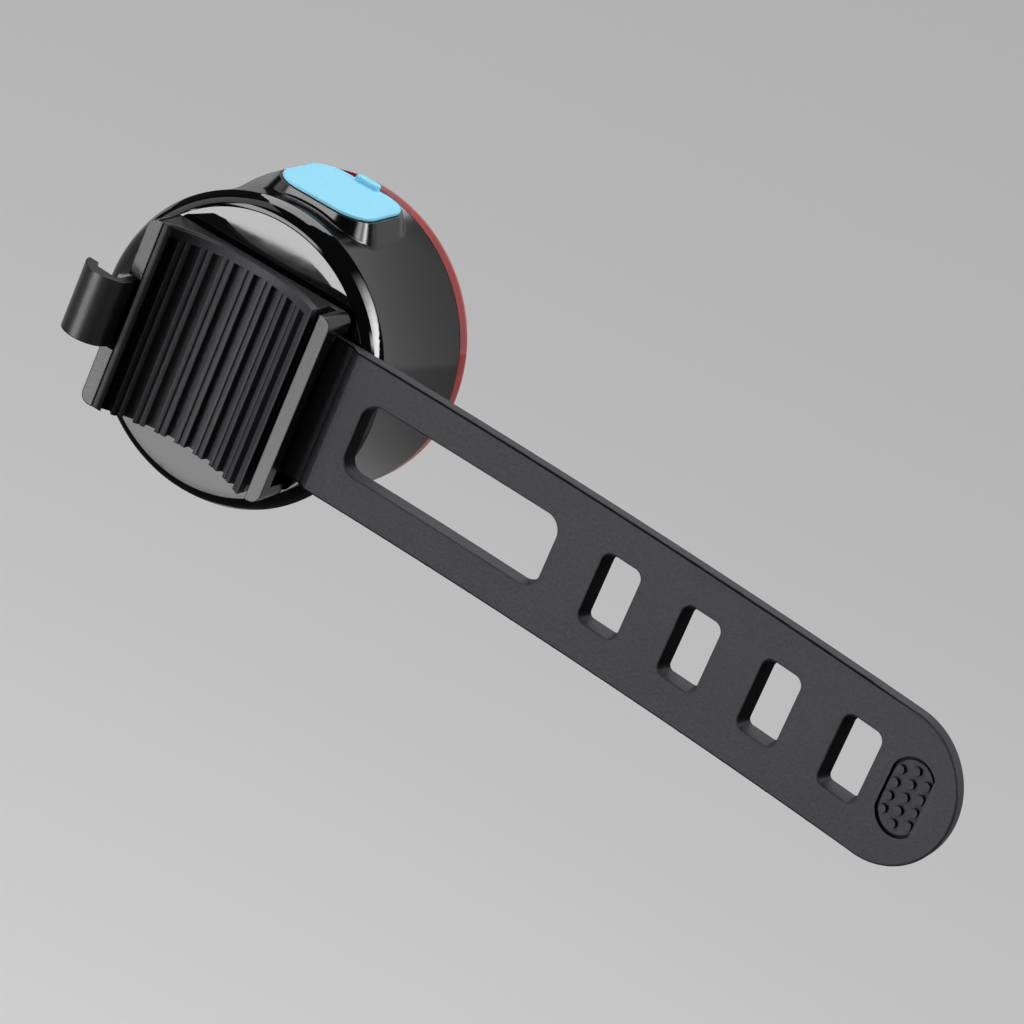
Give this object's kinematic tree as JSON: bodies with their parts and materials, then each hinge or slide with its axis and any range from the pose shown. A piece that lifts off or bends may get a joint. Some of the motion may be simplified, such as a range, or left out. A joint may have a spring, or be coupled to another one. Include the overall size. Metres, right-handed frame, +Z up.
{
  "type": "bicycle tail light",
  "caption": "Round rear bicycle light with a padded saddle, a hook and a slotted rubber strap for a seat post, a covered charging port and a push button.",
  "frame": {"origin": "on the axis of the seat post, midway along the saddle", "axes": "+Z up along the seat post, +Y backwards from the post to the lens, +X the way the open strap lies"},
  "size_m": [0.1269, 0.038, 0.0412],
  "materials": {
    "black_gloss": "polished",
    "black_moulded": "satin",
    "red_lens": "polished translucent",
    "grey_rubber": "fine grain",
    "blue_rubber": "matt",
    "black_rubber": "matt",
    "seal_rubber": "matt",
    "board_green": "solder mask",
    "reflector_metal": "vacuum plated",
    "led_white": "moulded",
    "screw_steel": "zinc plated",
    "socket_steel": "nickel plated",
    "cell_silver": "laminated pouch",
    "foam_grey": "foam",
    "chip_black": "moulded"
  },
  "bodies": {
    "light_body": {"rear_cover": "black_gloss", "housing": "black_gloss", "lens": "red_lens", "rear_seal": "seal_rubber", "lens_seal": "seal_rubber", "main_board": "board_green", "board_screws": "screw_steel", "center_led": "led_white", "ring_leds": "led_white", "reflector": "reflector_metal", "battery": "cell_silver", "battery_foam": "foam_grey", "battery_tabs": "socket_steel", "control_chip": "chip_black", "charging_socket": "socket_steel", "flap_root": "blue_rubber", "switch_body": "chip_black", "bracket": "black_moulded", "bracket_screws": "screw_steel", "post_pad": "grey_rubber"},
    "flap": {"port_flap": "blue_rubber"},
    "power_button": {"button_cap": "black_rubber", "switch_plunger": "chip_black"},
    "strap_body": {"strap": "grey_rubber"}
  },
  "joints": [
    {"name": "strap_pivot", "type": "hinge", "parent": "light_body", "child": "strap_body", "pos_m": [0.0109, 0.0169, 0], "axis": [0, 0, -1], "range_deg": [-2, 40]},
    {"name": "flap_hinge", "type": "hinge", "parent": "light_body", "child": "flap", "pos_m": [0, 0.02495, 0.02023], "axis": [1, 0, 0], "range_deg": [0, 100]},
    {"name": "button_press", "type": "slide", "parent": "light_body", "child": "power_button", "axis": [0, 0, 1], "range_m": [0, 0.0003], "stiffness_N_per_m": 500, "springref_m": -0.002}
  ]
}
